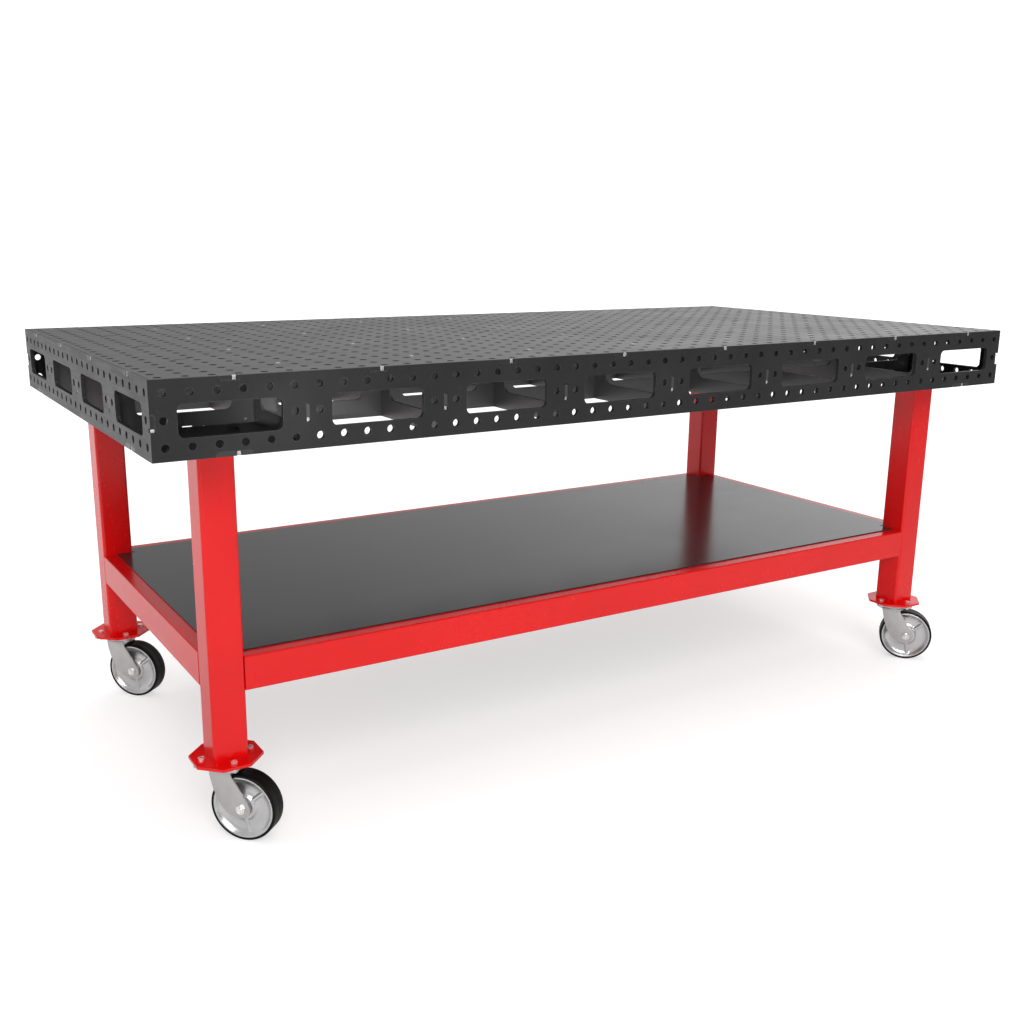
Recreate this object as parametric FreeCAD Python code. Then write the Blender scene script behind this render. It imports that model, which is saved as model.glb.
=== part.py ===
import FreeCAD, Part
import math
import os

os.makedirs("parts", exist_ok=True)

V = FreeCAD.Vector

# ---------------------------------------------------------------- driving dimensions (mm)
IN = 25.4
TOP_L = 96 * IN            # overall length of the work surface, along X
TOP_W = 48 * IN            # overall width, along Y
HEIGHT = 1016.0            # floor to work surface
PITCH = 2 * IN             # fixture hole pitch
EDGE = 1 * IN              # first hole centre from every outer edge
HOLE_R = 7.9375            # 5/8 in fixture holes
T_TOP = 9.525              # top plate thickness
T_SKIRT = 9.525            # skirt plate thickness
T_RIB = 6.35               # rib plate thickness
SKIRT_H = 6 * IN           # depth of skirts and ribs below the work surface
CELL = 12 * IN             # rib spacing
WIN_L = 8 * IN             # window length
WIN_H = 2.5 * IN           # window height
WIN_TOP = 1.86 * IN        # window upper edge below the work surface
WIN_R = 12.7               # window corner radius
ROWS = (1 * IN, 3 * IN, 5 * IN)   # hole rows below the work surface
MORT_TOP = 2.51 * IN       # mortise upper end below the work surface
MORT_BOT = 3.87 * IN       # mortise lower end
MORT_W = 7.0               # mortise width
TAB_BOT = 3.54 * IN        # lower end of a rib's end tab
DOT_R = 1.7                # corner relief radius
TTAB_W = 1.68 * IN         # top plate tab width
TTAB_GAP = 10.0            # gap in the middle of each top plate tab, filled by a tack weld
TTAB_CLR = 0.3             # side clearance of the top plate tabs
TACK_OFF = 0.33 * IN       # the gap and its weld sit this far to the right of a tab's middle, seen from outside
TACK_K = 4.0               # depth of that gap
TSLOT_L = 1.28 * IN        # slot in the top plate for a rib's upper tab
TSLOT_W = 6.9
TTONGUE = 1.25 * IN        # length of a rib's upper tab
T_CORNER = 9.525           # corner plate thickness
CTAB_W = 2.8 * IN          # corner plate tab width
CTAB_CLR = 0.3
SLIT_L = 22.0              # slit over the corner plate tab in a rib's notch
SLIT_H = 3.0
KEY_R = 3.2                # small holes beside the rib crossing of each corner cell
KEY_Z = 5.30 * IN
KEY_U = 0.85 * IN
LEG = 76.2                 # leg and rail tube, square
WALL = 4.76
LEG_R = 7.0
FLANGE = 8 * IN            # leg top flange, square
T_FLANGE = 6.35
FLANGE_BOLT = 76.2         # flange bolt half spacing
OCT = 5.75 * IN            # foot plate, across flats
T_FOOT = 6.35
CASTER_H = 180.975         # floor to the underside of the foot plate
RAIL_TOP = 602.4           # rail top below the work surface
PANEL_L = 84 * IN          # shelf panel before its corners are notched
PANEL_W = 36 * IN
T_PANEL = 2.7
WHEEL_R = 76.2
TREAD_W = 44.0
CORE_R = 70.2
TRAIL = 45.0               # wheel axle behind the swivel axis
YAW = 42.4                 # heading of the wheel axle from +X, degrees
FORK_IN = 23.0             # fork cheek inner face from the wheel's middle plane
T_CHEEK = 4.5
AXLE_R = 6.35
KING_R = 6.35
RUN = 0.06                 # radial clearance of a running fit
BOLT = 3.97                # 5/16 in bolt radius
BOLT_HOLE = 4.5
BOLT_AF = 12.7

XO, YO = TOP_L / 2, TOP_W / 2
XI, YI = XO - T_SKIRT, YO - T_SKIRT
Z0 = HEIGHT
ZB = HEIGHT - SKIRT_H
HALF = T_RIB / 2
CELLS_X = [-42, -30, -18, -6, 6, 18, 30, 42]
CELLS_Y = [-18, -6, 6, 18]
RIBS_X = [-36, -24, -12, 0, 12, 24, 36]
RIBS_Y = [-12, 0, 12]
# each leg stands in the middle of the clear corner cell
LX = (XI + 3 * CELL + HALF) / 2
LY = (YI + CELL + HALF) / 2
CORNERS = {"fl": (-1, -1), "fr": (1, -1), "bl": (-1, 1), "br": (1, 1)}


def out(name, shape):
    shape.exportStep("parts/%s.step" % name)


def circle(x, y, r):
    return Part.Wire([Part.makeCircle(r, V(x, y, 0))])


def rounded(x0, y0, x1, y1, r):
    """Rounded rectangle wire in the XY plane."""
    k = r * math.sin(math.radians(45))
    e = []
    pts = [
        (V(x0 + r, y0, 0), V(x1 - r, y0, 0), V(x1 - r + k, y0 + r - k, 0), V(x1, y0 + r, 0)),
        (V(x1, y0 + r, 0), V(x1, y1 - r, 0), V(x1 - r + k, y1 - r + k, 0), V(x1 - r, y1, 0)),
        (V(x1 - r, y1, 0), V(x0 + r, y1, 0), V(x0 + r - k, y1 - r + k, 0), V(x0, y1 - r, 0)),
        (V(x0, y1 - r, 0), V(x0, y0 + r, 0), V(x0 + r - k, y0 + r - k, 0), V(x0 + r, y0, 0)),
    ]
    for a, b, m, c in pts:
        if (a - b).Length > 1e-6:
            e.append(Part.makeLine(a, b))
        e.append(Part.Arc(b, m, c).toShape())
    return Part.Wire(e)


def rect(x0, y0, x1, y1):
    return poly([(x0, y0), (x1, y0), (x1, y1), (x0, y1)])


def poly(pts):
    p = [V(x, y, 0) for x, y in pts]
    return Part.makePolygon(p + [p[0]])


def slab(outer, inner, t):
    return Part.makeFace([outer] + inner, "Part::FaceMakerBullseye").extrude(V(0, 0, t))


def dots(points, t):
    return [Part.makeCylinder(DOT_R, t + 2, V(x, y, -1)) for x, y in points]


def to_xz(shape, y_inner):
    """Local (u, v, w) to row (X, Z, -Y): w grows towards -Y from y_inner."""
    m = FreeCAD.Matrix(1, 0, 0, 0, 0, 0, -1, y_inner, 0, 1, 0, 0, 0, 0, 0, 1)
    return shape.transformed(m, copy=True)


def to_yz(shape, x_low):
    """Local (u, v, w) to row (Y, Z, X): w grows towards +X from x_low."""
    m = FreeCAD.Matrix(0, 0, 1, x_low, 1, 0, 0, 0, 0, 1, 0, 0, 0, 0, 0, 1)
    return shape.transformed(m, copy=True)


def side_holes(half, n, middle):
    """Hole, window and mortise wires and relief points of one skirt, local u along the length and v up."""
    wires = []
    for i in range(n):
        u = -half + EDGE + i * PITCH
        wires.append(circle(u, Z0 - ROWS[0], HOLE_R))
        wires.append(circle(u, Z0 - ROWS[2], HOLE_R))
    for d in middle:
        wires.append(circle(-half + d * IN, Z0 - ROWS[1], HOLE_R))
    return wires


def window(u):
    return rounded(u - WIN_L / 2, Z0 - WIN_TOP - WIN_H, u + WIN_L / 2, Z0 - WIN_TOP, WIN_R)


def mortise(u):
    return rect(u - MORT_W / 2, Z0 - MORT_BOT, u + MORT_W / 2, Z0 - MORT_TOP)


def mortise_dots(u):
    return [(u + s * MORT_W / 2, Z0 - d) for s in (-1, 1) for d in (MORT_TOP, MORT_BOT)]


# ---------------------------------------------------------------- top plate
def top_plate():
    w = TTAB_W / 2 - TTAB_CLR
    g = TTAB_GAP / 2
    k = TACK_K                    # depth of the gap that takes the tack weld
    pts = []

    def tab(c, run, off):
        # along one side: run(u, v) gives a point at u along the side and v outward from the inner line
        m = c + TACK_OFF
        return [run(c - w, 0), run(c - w, off), run(m - g, off), run(m - g, off - k),
                run(m + g, off - k), run(m + g, off), run(c + w, off), run(c + w, 0)]

    pts.append((-XI, -YI))
    for c in CELLS_X:
        pts += tab(c * IN, lambda u, v: (u, -YI - v), T_SKIRT)
    pts.append((XI, -YI))
    for c in CELLS_Y:
        pts += tab(c * IN, lambda u, v: (XI + v, u), T_SKIRT)
    pts.append((XI, YI))
    for c in CELLS_X:
        pts += tab(c * IN, lambda u, v: (-u, YI + v), T_SKIRT)
    pts.append((-XI, YI))
    for c in CELLS_Y:
        pts += tab(c * IN, lambda u, v: (-XI - v, -u), T_SKIRT)
    inner = []
    for i in range(48):
        for j in range(24):
            inner.append(circle(-XO + EDGE + i * PITCH, -YO + EDGE + j * PITCH, HOLE_R))
    for y in RIBS_Y:
        for x in CELLS_X:
            inner.append(rect(x * IN - TSLOT_L / 2, y * IN - TSLOT_W / 2, x * IN + TSLOT_L / 2, y * IN + TSLOT_W / 2))
    for x in RIBS_X:
        for y in CELLS_Y:
            inner.append(rect(x * IN - TSLOT_W / 2, y * IN - TSLOT_L / 2, x * IN + TSLOT_W / 2, y * IN + TSLOT_L / 2))
    s = slab(poly(pts), inner, T_TOP)
    s.translate(V(0, 0, Z0 - T_TOP))
    return s


# ---------------------------------------------------------------- skirts
def skirt(half, cells, ribs, n, middle, foot_tabs, end_left, end_right, t):
    """end_left and end_right: 'notch' (open recess), 'tab' or None."""
    w = TTAB_W / 2
    c = CTAB_W / 2
    pts = []
    dts = []
    # lower edge, left to right, with notches for the corner plate tabs
    pts.append((-half, ZB))
    for u in foot_tabs:
        pts += [(u - c, ZB), (u - c, ZB + T_CORNER), (u + c, ZB + T_CORNER), (u + c, ZB)]
        dts += [(u - c, ZB + T_CORNER), (u + c, ZB + T_CORNER)]
    pts.append((half, ZB))
    za, zb = Z0 - 3.8 * IN, Z0 - 2.55 * IN
    if end_right == "notch":
        d = T_SKIRT
        pts += [(half, za), (half - d, za), (half - d, zb), (half, zb)]
        dts += [(half - d, za), (half - d, zb)]
    elif end_right == "tab":
        d = T_SKIRT
        pts += [(half, za + 7.2), (half + d, za + 7.2), (half + d, zb - TTAB_CLR), (half, zb - TTAB_CLR)]
    pts.append((half, Z0))
    for u in reversed([k * IN for k in cells]):
        pts += [(u + w, Z0), (u + w, Z0 - T_TOP), (u - w, Z0 - T_TOP), (u - w, Z0)]
        dts += [(u + w, Z0 - T_TOP), (u - w, Z0 - T_TOP)]
    pts.append((-half, Z0))
    if end_left == "notch":
        d = T_SKIRT
        pts += [(-half, zb), (-half + d, zb), (-half + d, za), (-half, za)]
        dts += [(-half + d, za), (-half + d, zb)]
    elif end_left == "tab":
        d = T_SKIRT
        pts += [(-half, zb - TTAB_CLR), (-half - d, zb - TTAB_CLR), (-half - d, za + 7.2), (-half, za + 7.2)]
    inner = []
    grid_half = XO if half > 900 else YO
    inner += side_holes(grid_half, n, middle)
    inner += [window(k * IN) for k in cells]
    inner += [mortise(k * IN) for k in ribs]
    for k in ribs:
        dts += mortise_dots(k * IN)
    s = slab(poly(pts), inner, t)
    return s.cut(Part.Compound(dots(dts, t)))


LONG_MID = [1] + [12 * k + d for k in range(1, 8) for d in (-1, 1)] + [95]
END_MID = [1, 11, 13, 23, 25, 35, 37, 47]


# ---------------------------------------------------------------- ribs
def rib(half, cells, cross, lap_from_bottom, foot_tabs):
    """Rib plate in local u, v: windows as the skirts, upper tongues, end tabs, half-lap slots at the crossings."""
    zt = Z0 - T_TOP
    lap = MORT_W / 2 - 0.15
    zm = (zt + ZB) / 2
    c = CTAB_W / 2
    g = TTONGUE / 2
    pts = [(-half, ZB)]
    low = []
    if lap_from_bottom:
        for k in cross:
            low.append((k * IN, lap, zm + 0.1, 0))
    for u in foot_tabs:
        low.append((u, c, ZB + T_CORNER, SLIT_L / 2))
    for u, w, z, m in sorted(low):
        pts += [(u - w, ZB), (u - w, z)]
        if m:
            pts += [(u - m, z), (u - m, z + SLIT_H), (u + m, z + SLIT_H), (u + m, z)]
        pts += [(u + w, z), (u + w, ZB)]
    pts.append((half, ZB))
    ta, tb = Z0 - TAB_BOT, Z0 - MORT_TOP - 0.2
    pts += [(half, ta), (half + T_SKIRT, ta), (half + T_SKIRT, tb), (half, tb), (half, zt)]
    high = [(k * IN, "tongue") for k in cells]
    if not lap_from_bottom:
        high += [(k * IN, "lap") for k in cross]
    for u, kind in sorted(high, reverse=True):
        if kind == "tongue":
            pts += [(u + g, zt), (u + g, Z0), (u - g, Z0), (u - g, zt)]
        else:
            pts += [(u + lap, zt), (u + lap, zm - 0.1), (u - lap, zm - 0.1), (u - lap, zt)]
    pts.append((-half, zt))
    pts += [(-half, tb), (-half - T_SKIRT, tb), (-half - T_SKIRT, ta), (-half, ta)]
    inner = [window(k * IN) for k in cells]
    if foot_tabs:
        # small hole on the corner cell's side of its crossing
        for k in (cross[0], cross[-1]):
            inner.append(circle(k * IN + (KEY_U if k > 0 else -KEY_U), Z0 - KEY_Z, KEY_R))
    s = slab(poly(pts), inner, T_RIB)
    dts = []
    for u in foot_tabs:
        dts += [(u - c, ZB + T_CORNER), (u + c, ZB + T_CORNER)]
    if dts:
        s = s.cut(Part.Compound(dots(dts, T_RIB)))
    return s


# ---------------------------------------------------------------- corner plate
def corner_plate(sx, sy):
    """Plate across the bottom of a corner cell, with a tab through each of its four walls."""
    x0, x1 = sx * XI, sx * (3 * CELL + HALF)
    y0, y1 = sy * YI, sy * (CELL + HALF)
    xa, xb = min(x0, x1), max(x0, x1)
    ya, yb = min(y0, y1), max(y0, y1)
    cx, cy = sx * LX, sy * LY
    w = CTAB_W / 2 - CTAB_CLR
    # reach of the tabs past each wall's inner face
    rw = {(-1, 0): T_SKIRT if sx < 0 else T_RIB, (1, 0): T_RIB if sx < 0 else T_SKIRT,
          (0, -1): T_SKIRT if sy < 0 else T_RIB, (0, 1): T_RIB if sy < 0 else T_SKIRT}
    g = TTAB_GAP / 2

    def tab(m, run, off, outer):
        # a tab in a skirt has a gap for its tack weld, as the top plate's tabs have
        a = [run(m - w, 0), run(m - w, off)]
        if outer:
            q = m + TACK_OFF if run is south or run is east else m - TACK_OFF
            lo, hi = (q - g, q + g)
            if run is north or run is west:
                lo, hi = hi, lo
            a += [run(lo, off), run(lo, off - TACK_K), run(hi, off - TACK_K), run(hi, off)]
        return a

    def south(u, v):
        return (u, ya - v)

    def east(u, v):
        return (xb + v, u)

    def north(u, v):
        return (u, yb + v)

    def west(u, v):
        return (xa - v, u)

    rs, re_, rn, rw_ = rw[(0, -1)], rw[(1, 0)], rw[(0, 1)], rw[(-1, 0)]
    pts = [(xa, ya)] + tab(cx, south, rs, sy < 0) + [(cx + w, ya - rs), (cx + w, ya), (xb, ya)]
    pts += tab(cy, east, re_, sx > 0) + [(xb + re_, cy + w), (xb, cy + w), (xb, yb)]
    n = tab(cx, north, rn, sy > 0)
    pts += [(cx + w, yb), (cx + w, yb + rn)] + n[2:] + [(cx - w, yb + rn), (cx - w, yb), (xa, yb)]
    n = tab(cy, west, rw_, sx < 0)
    pts += [(xa, cy + w), (xa - rw_, cy + w)] + n[2:] + [(xa - rw_, cy - w), (xa, cy - w)]
    holes = [circle(cx + i * FLANGE_BOLT, cy + j * FLANGE_BOLT, 6.75) for i in (-1, 1) for j in (-1, 1)]
    s = slab(poly(pts), holes, T_CORNER)
    s.translate(V(0, 0, ZB))
    return s


# ---------------------------------------------------------------- legs
Z_FLANGE = ZB - T_FLANGE           # underside of the flange, top of the tube
Z_FOOT = CASTER_H + T_FOOT         # top of the foot plate


def leg_tube(cx, cy):
    a = LEG / 2
    o = rounded(cx - a, cy - a, cx + a, cy + a, LEG_R)
    b = a - WALL
    i = rounded(cx - b, cy - b, cx + b, cy + b, LEG_R - WALL)
    s = slab(o, [i], Z_FLANGE - Z_FOOT)
    s.translate(V(0, 0, Z_FOOT))
    return s


def foot_plate(cx, cy):
    r = OCT / 2 / math.cos(math.radians(22.5))
    pts = [(cx + r * math.cos(math.radians(22.5 + 45 * k)), cy + r * math.sin(math.radians(22.5 + 45 * k))) for k in range(8)]
    q = 76.2 / math.sqrt(2)
    holes = [circle(cx + q, cy, BOLT_HOLE), circle(cx - q, cy, BOLT_HOLE), circle(cx, cy + q, BOLT_HOLE), circle(cx, cy - q, BOLT_HOLE)]
    s = slab(poly(pts), holes, T_FOOT)
    s.translate(V(0, 0, CASTER_H))
    return s


def top_flange(cx, cy):
    a = FLANGE / 2
    holes = [circle(cx + i * FLANGE_BOLT, cy + j * FLANGE_BOLT, 6.4) for i in (-1, 1) for j in (-1, 1)]
    s = slab(rounded(cx - a, cy - a, cx + a, cy + a, 12), holes, T_FLANGE)
    s.translate(V(0, 0, Z_FLANGE))
    return s


def hexagon(cx, cy, af, z, h, turn=0.0):
    r = af / math.sqrt(3)
    pts = [(cx + r * math.cos(math.radians(60 * k + turn)), cy + r * math.sin(math.radians(60 * k + turn))) for k in range(6)]
    s = Part.Face(poly(pts)).extrude(V(0, 0, h))
    s.translate(V(0, 0, z))
    # rounded-off corners, as on a turned hex head
    return s.common(Part.makeCylinder(af / 2 * 1.09, h, V(cx, cy, z)))


def rails():
    a = LEG / 2
    zt = Z0 - RAIL_TOP
    z0 = zt - LEG

    def tube(length):
        o = rounded(-a, -a, a, a, 3.0)
        b = a - WALL
        i = rounded(-b, -b, b, b, 1.0)
        return slab(o, [i], length)

    lx = 2 * (LX - a)
    ly = 2 * (LY - a)
    res = {}
    for nm, sy in (("front", -1), ("back", 1)):
        s = tube(lx)
        s.rotate(V(0, 0, 0), V(0, 1, 0), 90)
        s.translate(V(-lx / 2, sy * LY, z0 + a))
        res["rail_" + nm] = s
    for nm, sx in (("left", -1), ("right", 1)):
        s = tube(ly)
        s.rotate(V(0, 0, 0), V(1, 0, 0), -90)
        s.translate(V(sx * LX, -ly / 2, z0 + a))
        res["rail_" + nm] = s
    return res


def shelf_panel():
    """Sheet lying on the rails, notched round the legs, with a round relief in each notch."""
    px, py = PANEL_L / 2, PANEL_W / 2
    g = 1.5
    nx, ny = LX - LEG / 2 - g, LY - LEG / 2 - g
    pts = [(-nx, -py), (nx, -py), (nx, -ny), (px, -ny), (px, ny), (nx, ny), (nx, py), (-nx, py),
           (-nx, ny), (-px, ny), (-px, -ny), (-nx, -ny)]
    s = slab(poly(pts), [], T_PANEL)
    r = 4.0
    s = s.cut(Part.Compound([Part.makeCylinder(r, T_PANEL + 2, V(i * nx, j * ny, -1)) for i in (-1, 1) for j in (-1, 1)]))
    s.translate(V(0, 0, Z0 - RAIL_TOP))
    return s


# ---------------------------------------------------------------- casters
A = math.radians(YAW)
AX = V(math.cos(A), math.sin(A), 0)         # wheel axle direction
TR = V(math.sin(A), -math.cos(A), 0)        # from the swivel axis towards the wheel


def caster_place(shape, cx, cy):
    """Local caster frame: x along the trail, y along the axle, z up; the origin is on the floor under the swivel axis."""
    m = FreeCAD.Matrix(TR.x, AX.x, 0, cx, TR.y, AX.y, 0, cy, 0, 0, 1, 0, 0, 0, 0, 1)
    return shape.transformed(m, copy=True)


Z_PLATE = CASTER_H - 6.35          # underside of the caster's top plate
Z_RACE = 168.5                     # middle of the gap between the two races
Z_CROWN = 162.5                    # top of the fork crown
T_CROWN = 6.0


def caster_plate(cx, cy):
    """4 x 4-1/2 in plate turned 45 degrees, with the upper race under it."""
    s = slab(rounded(-57.15, -50.8, 57.15, 50.8, 8.0),
             [circle(i * 38.1, j * 38.1, BOLT_HOLE) for i in (-1, 1) for j in (-1, 1)] + [circle(0, 0, KING_R)], 6.35)
    s.translate(V(0, 0, Z_PLATE))
    ring = Part.makeCylinder(34, Z_PLATE - Z_RACE + 0.75, V(0, 0, Z_RACE + 0.25)).cut(
        Part.makeCylinder(KING_R, 20, V(0, 0, 160)))
    ring = ring.makeFillet(1.5, [e for e in ring.Edges if abs(e.BoundBox.ZMin - (Z_RACE + 0.25)) < 1e-4 and abs(e.BoundBox.ZMax - (Z_RACE + 0.25)) < 1e-4 and e.BoundBox.XLength > 60])
    s = s.fuse(ring).removeSplitter()
    s.rotate(V(0, 0, 0), V(0, 0, 1), 45)
    s.translate(V(cx, cy, 0))
    return s


def kingpin(cx, cy):
    """Riveted pin through plate and fork, with a hex nut under the crown."""
    s = Part.makeCylinder(KING_R, CASTER_H - 150.0, V(0, 0, 150.0))
    nut = hexagon(0, 0, 20.0, 150.4, 5.6)
    s = s.fuse(nut)
    s.translate(V(cx, cy, 0))
    return s


def fork(cx, cy):
    """Stamped fork: crown, lower race and two tapered cheeks."""
    zc = Z_CROWN - T_CROWN
    # cheek outline in the vertical plane, x from the wheel centre, z above the floor
    p = [(-74, Z_CROWN), (-72.5, 146), (-69, 130), (-62.5, 109), (-52, 86), (-38, 67), (-20, 57.2), (0, 55.2),
         (12, 58.6), (18.8, 66), (20.6, 76.2), (17.8, 85.5), (10.5, 97), (1.5, 112), (-12, 135), (-20, 148), (-24, Z_CROWN)]
    curve = Part.BSplineCurve()
    curve.interpolate([V(x + TRAIL, 0, z) for x, z in p[:12]])
    e1 = curve.toShape()
    curve2 = Part.BSplineCurve()
    curve2.interpolate([V(x + TRAIL, 0, z) for x, z in p[11:]])
    e2 = curve2.toShape()
    e3 = Part.makeLine(V(p[-1][0] + TRAIL, 0, p[-1][1]), V(p[0][0] + TRAIL, 0, p[0][1]))
    face = Part.Face(Part.Wire([e1, e2, e3]))
    cheeks = []
    for sgn in (-1, 1):
        c = face.extrude(V(0, T_CHEEK, 0))
        c.translate(V(0, FORK_IN if sgn > 0 else -FORK_IN - T_CHEEK, 0))
        cheeks.append(c)
    yo = FORK_IN + T_CHEEK
    crown = slab(rounded(p[0][0] + TRAIL, -yo, p[-1][0] + TRAIL, yo, 4.0), [], T_CROWN)
    crown.translate(V(0, 0, zc))
    disc = Part.makeCylinder(38, T_CROWN, V(0, 0, zc))
    race = Part.makeCylinder(36, Z_RACE - 0.25 - Z_CROWN, V(0, 0, Z_CROWN))
    s = crown.fuse([disc, race] + cheeks)
    s = s.cut(Part.makeCylinder(KING_R + RUN, 40, V(0, 0, 140)))
    hole = Part.makeCylinder(AXLE_R + 0.05, 80, V(TRAIL, -40, WHEEL_R), V(0, 1, 0))
    s = s.cut(hole)
    return caster_place(s.removeSplitter(), cx, cy)


def axle(cx, cy):
    """Hex bolt through both cheeks with its nut: two solids."""
    yo = FORK_IN + T_CHEEK
    shank = Part.makeCylinder(AXLE_R, 2 * yo + 7.5, V(0, 0, -yo - 7.5))
    head = hexagon(0, 0, 19.05, yo, 6.5)
    bolt = shank.fuse(head)
    nut = hexagon(0, 0, 19.05, -yo - 6.0, 6.0, 30).cut(Part.makeCylinder(AXLE_R, 20, V(0, 0, -yo - 10)))
    res = Part.Compound([bolt, nut])
    res.rotate(V(0, 0, 0), V(1, 0, 0), -90)
    res.translate(V(TRAIL, 0, WHEEL_R))
    return caster_place(res, cx, cy)


def revolve(profile):
    """Closed (radius, y) profile turned about the axle through the wheel centre."""
    pts = [V(r, y, 0) for r, y in profile]
    f = Part.Face(Part.makePolygon(pts + [pts[0]]))
    return f.revolve(V(0, 0, 0), V(0, 1, 0), 360)


def wheel_core(cx, cy):
    """Dished cast core: hub, web, rim and three ribs on each face."""
    h = 21.5
    rb = AXLE_R + RUN
    s = revolve([(rb, -h), (15, -h), (17, -19.5), (27, -18.0), (31, -13.5), (44, -9.5), (58, -11.5), (64, -17.5),
                 (67, -21.0), (CORE_R, -21.0), (CORE_R, 21.0), (67, 21.0), (64, 17.5), (58, 11.5), (44, 9.5),
                 (31, 13.5), (27, 18.0), (17, 19.5), (15, h), (rb, h)])
    ribs = []
    for a in (39.5, 159.5, 279.5):
        # tapered radial rib from the hub to the rim, shallower than both
        f = Part.Face(Part.makePolygon([V(24, -16.6, 0), V(63, -14.6, 0), V(63, 14.6, 0), V(24, 16.6, 0), V(24, -16.6, 0)]))
        b = f.extrude(V(0, 0, 7))
        b.translate(V(0, 0, -3.5))
        # local x is radial here and the wheel's own axis is y
        b.rotate(V(0, 0, 0), V(0, 1, 0), -a)
        ribs.append(b)
    s = s.fuse(ribs)
    s.translate(V(TRAIL, 0, WHEEL_R))
    return caster_place(s.removeSplitter(), cx, cy)


def tyre(cx, cy):
    w = TREAD_W / 2
    s = revolve([(CORE_R, -w + 1.0), (WHEEL_R - 3.0, -w), (WHEEL_R - 0.9, -w + 0.9), (WHEEL_R, -w + 3.0),
                 (WHEEL_R, w - 3.0), (WHEEL_R - 0.9, w - 0.9), (WHEEL_R - 3.0, w), (CORE_R, w - 1.0)])
    s.translate(V(TRAIL, 0, WHEEL_R))
    return caster_place(s, cx, cy)


# ---------------------------------------------------------------- fasteners
def foot_bolts():
    heads, nuts = [], []
    q = 76.2 / math.sqrt(2)
    for sx, sy in CORNERS.values():
        cx, cy = sx * LX, sy * LY
        for dx, dy in ((q, 0), (-q, 0), (0, q), (0, -q)):
            x, y = cx + dx, cy + dy
            low = Z_PLATE - 9.0
            b = Part.makeCylinder(BOLT, Z_FOOT - low, V(x, y, low)).fuse(hexagon(x, y, BOLT_AF, Z_FOOT, 4.8, 15))
            heads.append(b)
            n = hexagon(x, y, BOLT_AF, Z_PLATE - 6.8, 6.8, 15).cut(Part.makeCylinder(BOLT, 30, V(x, y, low - 5)))
            nuts.append(n)
    return Part.Compound(heads), Part.Compound(nuts)


def flange_bolts():
    res = []
    zt = ZB + T_CORNER
    for sx, sy in CORNERS.values():
        for i in (-1, 1):
            for j in (-1, 1):
                x, y = sx * LX + i * FLANGE_BOLT, sy * LY + j * FLANGE_BOLT
                res.append(Part.makeCylinder(6.35, zt - Z_FLANGE, V(x, y, Z_FLANGE)).fuse(hexagon(x, y, 19.05, zt, 7.9, 10)))
    return Part.Compound(res)


def tack_welds():
    """Small plug beads, flush with the plates, at the tab joints."""
    res = []
    k = TACK_K
    g = TTAB_GAP / 2
    for c in CELLS_X:
        for s in (-1, 1):
            y0 = s * YO if s < 0 else YO - k
            res.append(Part.makeBox(2 * g, k, T_TOP, V(c * IN - s * TACK_OFF - g, y0, Z0 - T_TOP)))
    for c in CELLS_Y:
        for s in (-1, 1):
            x0 = -XO if s < 0 else XO - k
            res.append(Part.makeBox(k, 2 * g, T_TOP, V(x0, c * IN + s * TACK_OFF - g, Z0 - T_TOP)))
    for sx, sy in CORNERS.values():
        y0 = -YO if sy < 0 else YO - k
        res.append(Part.makeBox(2 * g, k, T_CORNER, V(sx * LX - sy * TACK_OFF - g, y0, ZB)))
        x0 = -XO if sx < 0 else XO - k
        res.append(Part.makeBox(k, 2 * g, T_CORNER, V(x0, sy * LY + sx * TACK_OFF - g, ZB)))
    h = MORT_BOT - MORT_TOP
    zb, hb = Z0 - MORT_BOT, MORT_BOT - TAB_BOT
    for c in RIBS_X:
        for s in (-1, 1):
            y0 = -YO if s < 0 else YO - k
            res.append(Part.makeBox(MORT_W, k, hb, V(c * IN - MORT_W / 2, y0, zb)))
    for c in RIBS_Y:
        for s in (-1, 1):
            x0 = -XO if s < 0 else XO - k
            res.append(Part.makeBox(k, MORT_W, hb, V(x0, c * IN - MORT_W / 2, zb)))
    # under the end skirts' tabs, at the two corners that have one
    za = Z0 - 3.8 * IN
    for s in (-1, 1):
        x0 = -XO if s < 0 else XO - T_SKIRT
        y0 = -YO if s < 0 else YO - k
        res.append(Part.makeBox(T_SKIRT, k, 7.2, V(x0, y0, za)))
    return Part.Compound(res)


# ---------------------------------------------------------------- write every node
out("top_plate", top_plate())

front = to_xz(skirt(XO, CELLS_X, RIBS_X, 48, LONG_MID, [-LX, LX], "notch", "notch", T_SKIRT), -YI)
out("skirt_front", front)
back = front.copy()
back.rotate(V(0, 0, 0), V(0, 0, 1), 180)
out("skirt_back", back)
left = to_yz(skirt(YI, CELLS_Y, RIBS_Y, 24, END_MID, [-LY, LY], "tab", None, T_SKIRT), -XO)
out("skirt_left", left)
right = left.copy()
right.rotate(V(0, 0, 0), V(0, 0, 1), 180)
out("skirt_right", right)

for i, y in enumerate(RIBS_Y):
    feet = [-LX, LX] if y != 0 else []
    s = rib(XI, CELLS_X, RIBS_X, True, feet)
    out("rib_long_%d" % (i + 1), to_xz(s, y * IN + HALF))
for i, x in enumerate(RIBS_X):
    feet = [-LY, LY] if abs(x) == 36 else []
    s = rib(YI, CELLS_Y, RIBS_Y, False, feet)
    out("rib_cross_%d" % (i + 1), to_yz(s, x * IN - HALF))

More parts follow.
